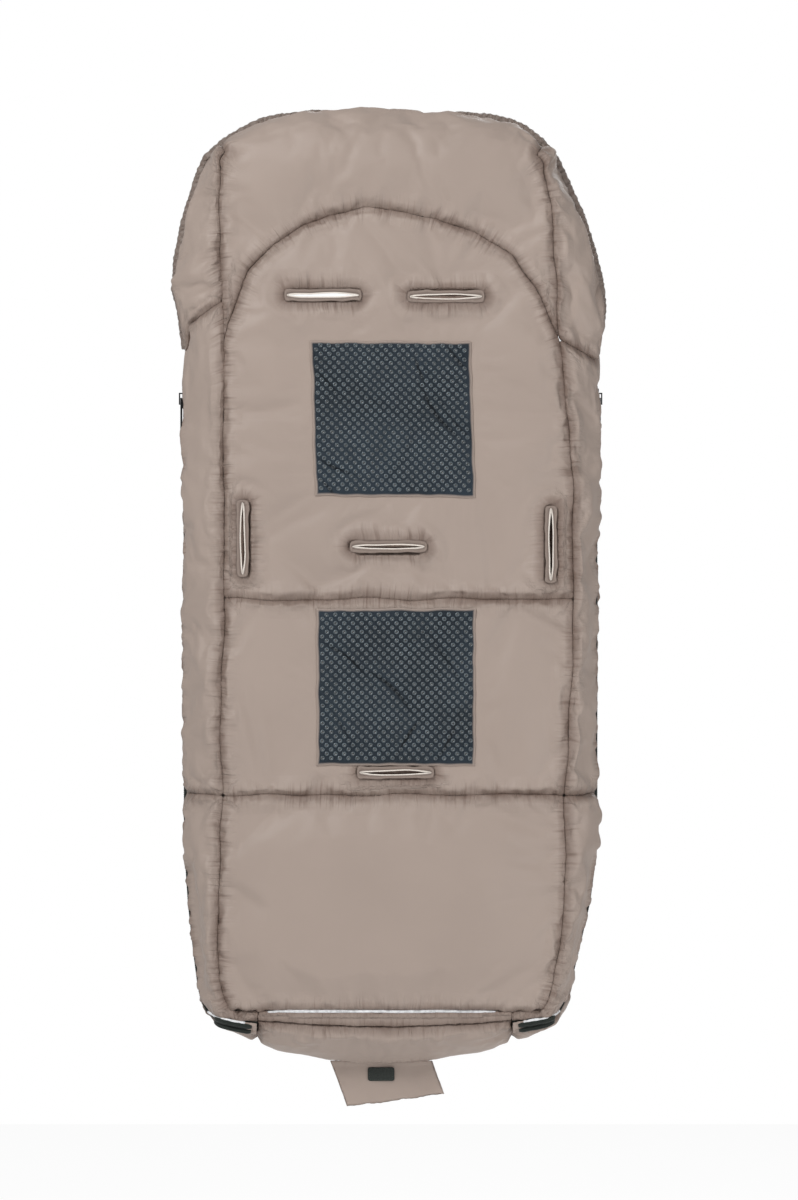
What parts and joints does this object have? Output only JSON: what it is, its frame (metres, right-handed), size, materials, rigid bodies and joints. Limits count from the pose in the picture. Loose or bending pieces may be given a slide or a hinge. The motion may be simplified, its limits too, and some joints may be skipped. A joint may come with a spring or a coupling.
{
  "type": "stroller footmuff",
  "caption": "Padded stroller footmuff with hood, harness slots, anti-slip patches, side zips and a fold-down front cover.",
  "frame": {"origin": "centre of the upper anti-slip patch, on its outer face", "axes": "+Z towards the hood, +X to the right as the back is seen, +Y from the back towards the front cover"},
  "size_m": [0.4451, 0.1, 1.014],
  "materials": {
    "shell_cloth": "satin",
    "rim_cloth": "satin",
    "grip_cloth": "matte",
    "fleece": "matte",
    "binding_tape": "matte",
    "reflective_piping": "satin",
    "zip_tape": "matte",
    "zip_metal": "satin",
    "elastic": "matte",
    "hook_fastener": "matte"
  },
  "bodies": {
    "root": {"head_panel": "shell_cloth", "back_panel": "shell_cloth", "seat_panel": "shell_cloth", "leg_panel": "shell_cloth", "left_hood_side": "shell_cloth", "right_hood_side": "shell_cloth", "left_upper_side": "shell_cloth", "right_upper_side": "shell_cloth", "left_lower_side": "shell_cloth", "right_lower_side": "shell_cloth", "back_lining": "fleece", "left_side_lining": "fleece", "right_side_lining": "fleece", "hood_lining": "fleece", "upper_grip_patch": "grip_cloth", "lower_grip_patch": "grip_cloth", "left_shoulder_slot_binding": "binding_tape", "right_shoulder_slot_binding": "binding_tape", "left_hip_slot_binding": "binding_tape", "right_hip_slot_binding": "binding_tape", "waist_slot_binding": "binding_tape", "low_slot_binding": "binding_tape", "hood_rim": "rim_cloth", "hood_elastic": "elastic", "hem_piping": "reflective_piping", "left_corner_piping": "reflective_piping", "right_corner_piping": "reflective_piping", "hinge_band": "shell_cloth", "left_zip_body_coil": "zip_tape", "left_zip_body_stop": "zip_metal", "left_zip_body_tape": "zip_tape", "left_zip_end_cover": "shell_cloth", "right_zip_body_coil": "zip_tape", "right_zip_body_stop": "zip_metal", "right_zip_body_tape": "zip_tape", "right_zip_end_cover": "shell_cloth"},
    "cover": {"cover_upper_panel": "shell_cloth", "cover_lower_panel": "shell_cloth", "cover_left_upper_side": "shell_cloth", "cover_right_upper_side": "shell_cloth", "cover_left_lower_side": "shell_cloth", "cover_right_lower_side": "shell_cloth", "foot_end": "shell_cloth", "cover_lining": "fleece", "left_zip_cover_coil": "zip_tape", "left_zip_cover_stop": "zip_metal", "left_zip_cover_tape": "zip_tape", "right_zip_cover_coil": "zip_tape", "right_zip_cover_stop": "zip_metal", "right_zip_cover_tape": "zip_tape"},
    "left_slider": {"left_zip_slider": "zip_metal"},
    "right_slider": {"right_zip_slider": "zip_metal"},
    "left_pull": {"left_zip_pull": "zip_metal"},
    "right_pull": {"right_zip_pull": "zip_metal"},
    "foot_tab": {"foot_tab": "shell_cloth", "foot_tab_fastener": "hook_fastener"}
  },
  "joints": [
    {"name": "cover_fold", "type": "hinge", "parent": "root", "child": "cover", "pos_m": [0, 0.01, -0.6059], "axis": [-1, 0, 0], "range_deg": [0, 130], "deforming": ["hinge_band", "left_zip_end_cover", "right_zip_end_cover"]},
    {"name": "left_slider_slide", "type": "slide", "parent": "root", "child": "left_slider", "axis": [0, 0, -1], "range_m": [0, 0.4]},
    {"name": "right_slider_slide", "type": "slide", "parent": "root", "child": "right_slider", "axis": [0, 0, -1], "range_m": [0, 0.4]},
    {"name": "left_pull_swing", "type": "hinge", "parent": "left_slider", "child": "left_pull", "pos_m": [-0.21301, 0.052, 0.02334], "axis": [0, 1, 0], "range_deg": [0, 175]},
    {"name": "right_pull_swing", "type": "hinge", "parent": "right_slider", "child": "right_pull", "pos_m": [0.21195, 0.052, 0.02334], "axis": [0, -1, 0], "range_deg": [0, 175]},
    {"name": "foot_tab_fold", "type": "hinge", "parent": "cover", "child": "foot_tab", "pos_m": [-0.01, 0.052, -0.65218], "axis": [1, 0, 0], "range_deg": [-45, 60]}
  ]
}
